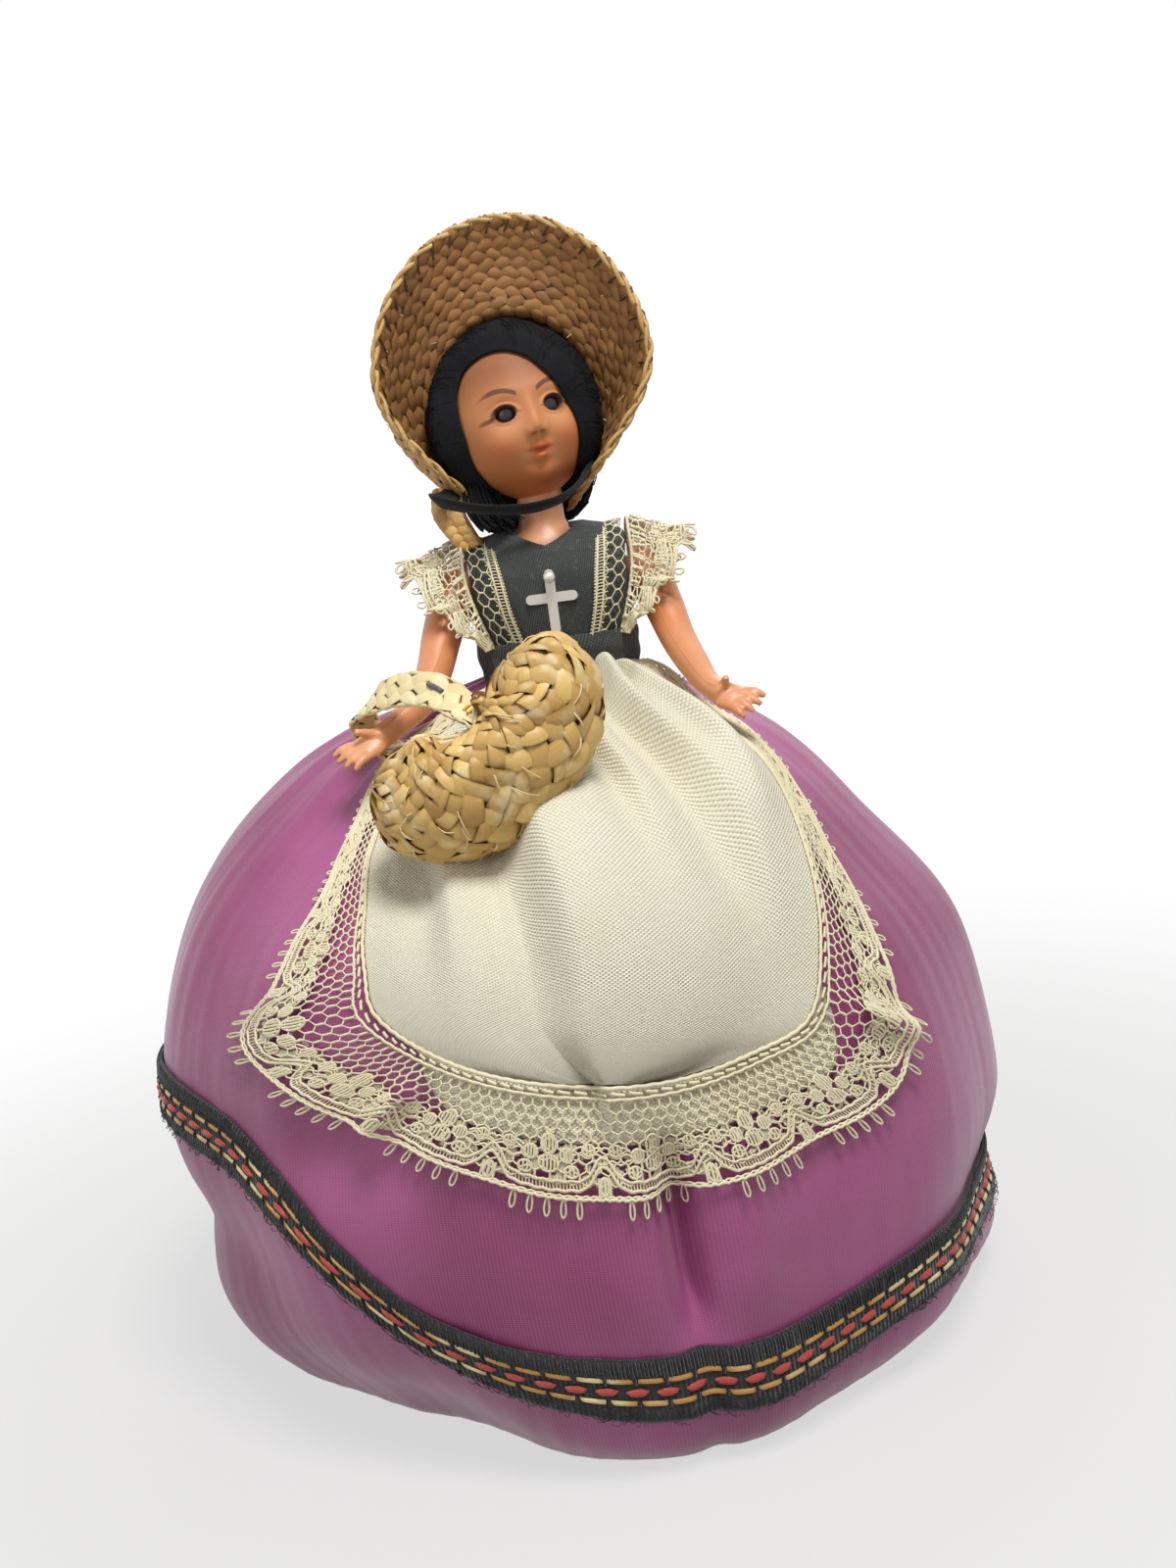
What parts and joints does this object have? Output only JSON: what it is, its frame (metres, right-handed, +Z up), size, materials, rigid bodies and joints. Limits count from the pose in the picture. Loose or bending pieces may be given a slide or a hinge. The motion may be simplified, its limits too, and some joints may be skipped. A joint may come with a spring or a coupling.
{
  "type": "costume doll",
  "caption": "Free-standing costume doll with turning head, sleep eyes, two hooked arms, a swinging basket and cross, and a bell skirt.",
  "frame": {"origin": "on the ground under the middle of the skirt", "axes": "+Z up, the doll faces -Y, +X is the doll's left"},
  "size_m": [0.1538, 0.1534, 0.1948],
  "materials": {
    "body_plastic": "peach moulded plastic, half gloss",
    "face_plastic": "orange-tan painted plastic, glossy",
    "shoe_plastic": "black moulded plastic",
    "steel_wire": "drawn wire",
    "elastic": "covered elastic cord",
    "twill": "charcoal twill",
    "lace": "ivory cotton lace",
    "silver": "pressed silver-coloured sheet",
    "plaited_straw": "pale plaited straw",
    "eye_glaze": "dark violet-brown gloss",
    "lead": "cast weight on a wire",
    "hair": "matted black fibre",
    "hat_straw": "sewn straw braid",
    "black_ribbon": "black taffeta ribbon",
    "stiff_net": "stiffened net",
    "satin": "purple-magenta satin",
    "braid": "black wool braid with gold and red stitches",
    "apron_cotton": "ivory basket-weave cotton"
  },
  "bodies": {
    "body": {"body_and_legs": "body_plastic", "shoe_left": "shoe_plastic", "shoe_right": "shoe_plastic", "arm_elastic": "elastic", "bodice": "twill", "waistband": "twill", "lace_strap_left": "lace", "lace_strap_right": "lace", "lace_frill_left": "lace", "lace_frill_right": "lace", "cross_pin": "silver", "petticoat": "stiff_net", "skirt": "satin", "skirt_braid": "braid", "apron": "apron_cotton", "apron_lace": "lace"},
    "head": {"head_shell": "face_plastic", "wig": "hair", "hat": "hat_straw", "hat_ribbon": "black_ribbon", "neck_hook": "steel_wire"},
    "eyes": {"eye_left": "eye_glaze", "eye_right": "eye_glaze", "eye_rocker": "lead"},
    "arm_left": {"arm_left": "body_plastic", "arm_hook_left": "steel_wire"},
    "arm_right": {"arm_right": "body_plastic", "arm_hook_right": "steel_wire"},
    "basket": {"basket": "plaited_straw", "basket_handle": "plaited_straw"},
    "cross": {"cross": "silver"}
  },
  "joints": [
    {"name": "head_turn", "type": "hinge", "parent": "body", "child": "head", "pos_m": [0.0065, 0, 0.1462], "axis": [0, 0, 1], "range_deg": [-60, 40]},
    {"name": "eyes_sleep", "type": "hinge", "parent": "head", "child": "eyes", "pos_m": [0.00622, -0.0069, 0.16107], "axis": [0.9671, 0.2233, 0.1219], "range_deg": [0, 45]},
    {"name": "arm_left_turn", "type": "hinge", "parent": "body", "child": "arm_left", "pos_m": [0.0208, 0, 0.1328], "axis": [-1, 0, 0], "range_deg": [-5, 110], "deforming": ["lace_frill_left"]},
    {"name": "arm_right_turn", "type": "hinge", "parent": "body", "child": "arm_right", "pos_m": [-0.0078, 0, 0.1328], "axis": [-1, 0, 0], "range_deg": [0, 70], "deforming": ["lace_frill_right"]},
    {"name": "basket_swing", "type": "hinge", "parent": "arm_right", "child": "basket", "pos_m": [-0.023, -0.0245, 0.1112], "axis": [-0.6298, -0.6598, -0.4099], "range_deg": [0, 20]},
    {"name": "cross_swing", "type": "hinge", "parent": "body", "child": "cross", "pos_m": [0.0065, -0.0128, 0.1324], "axis": [0, 1, 0], "range_deg": [-60, 60]}
  ]
}
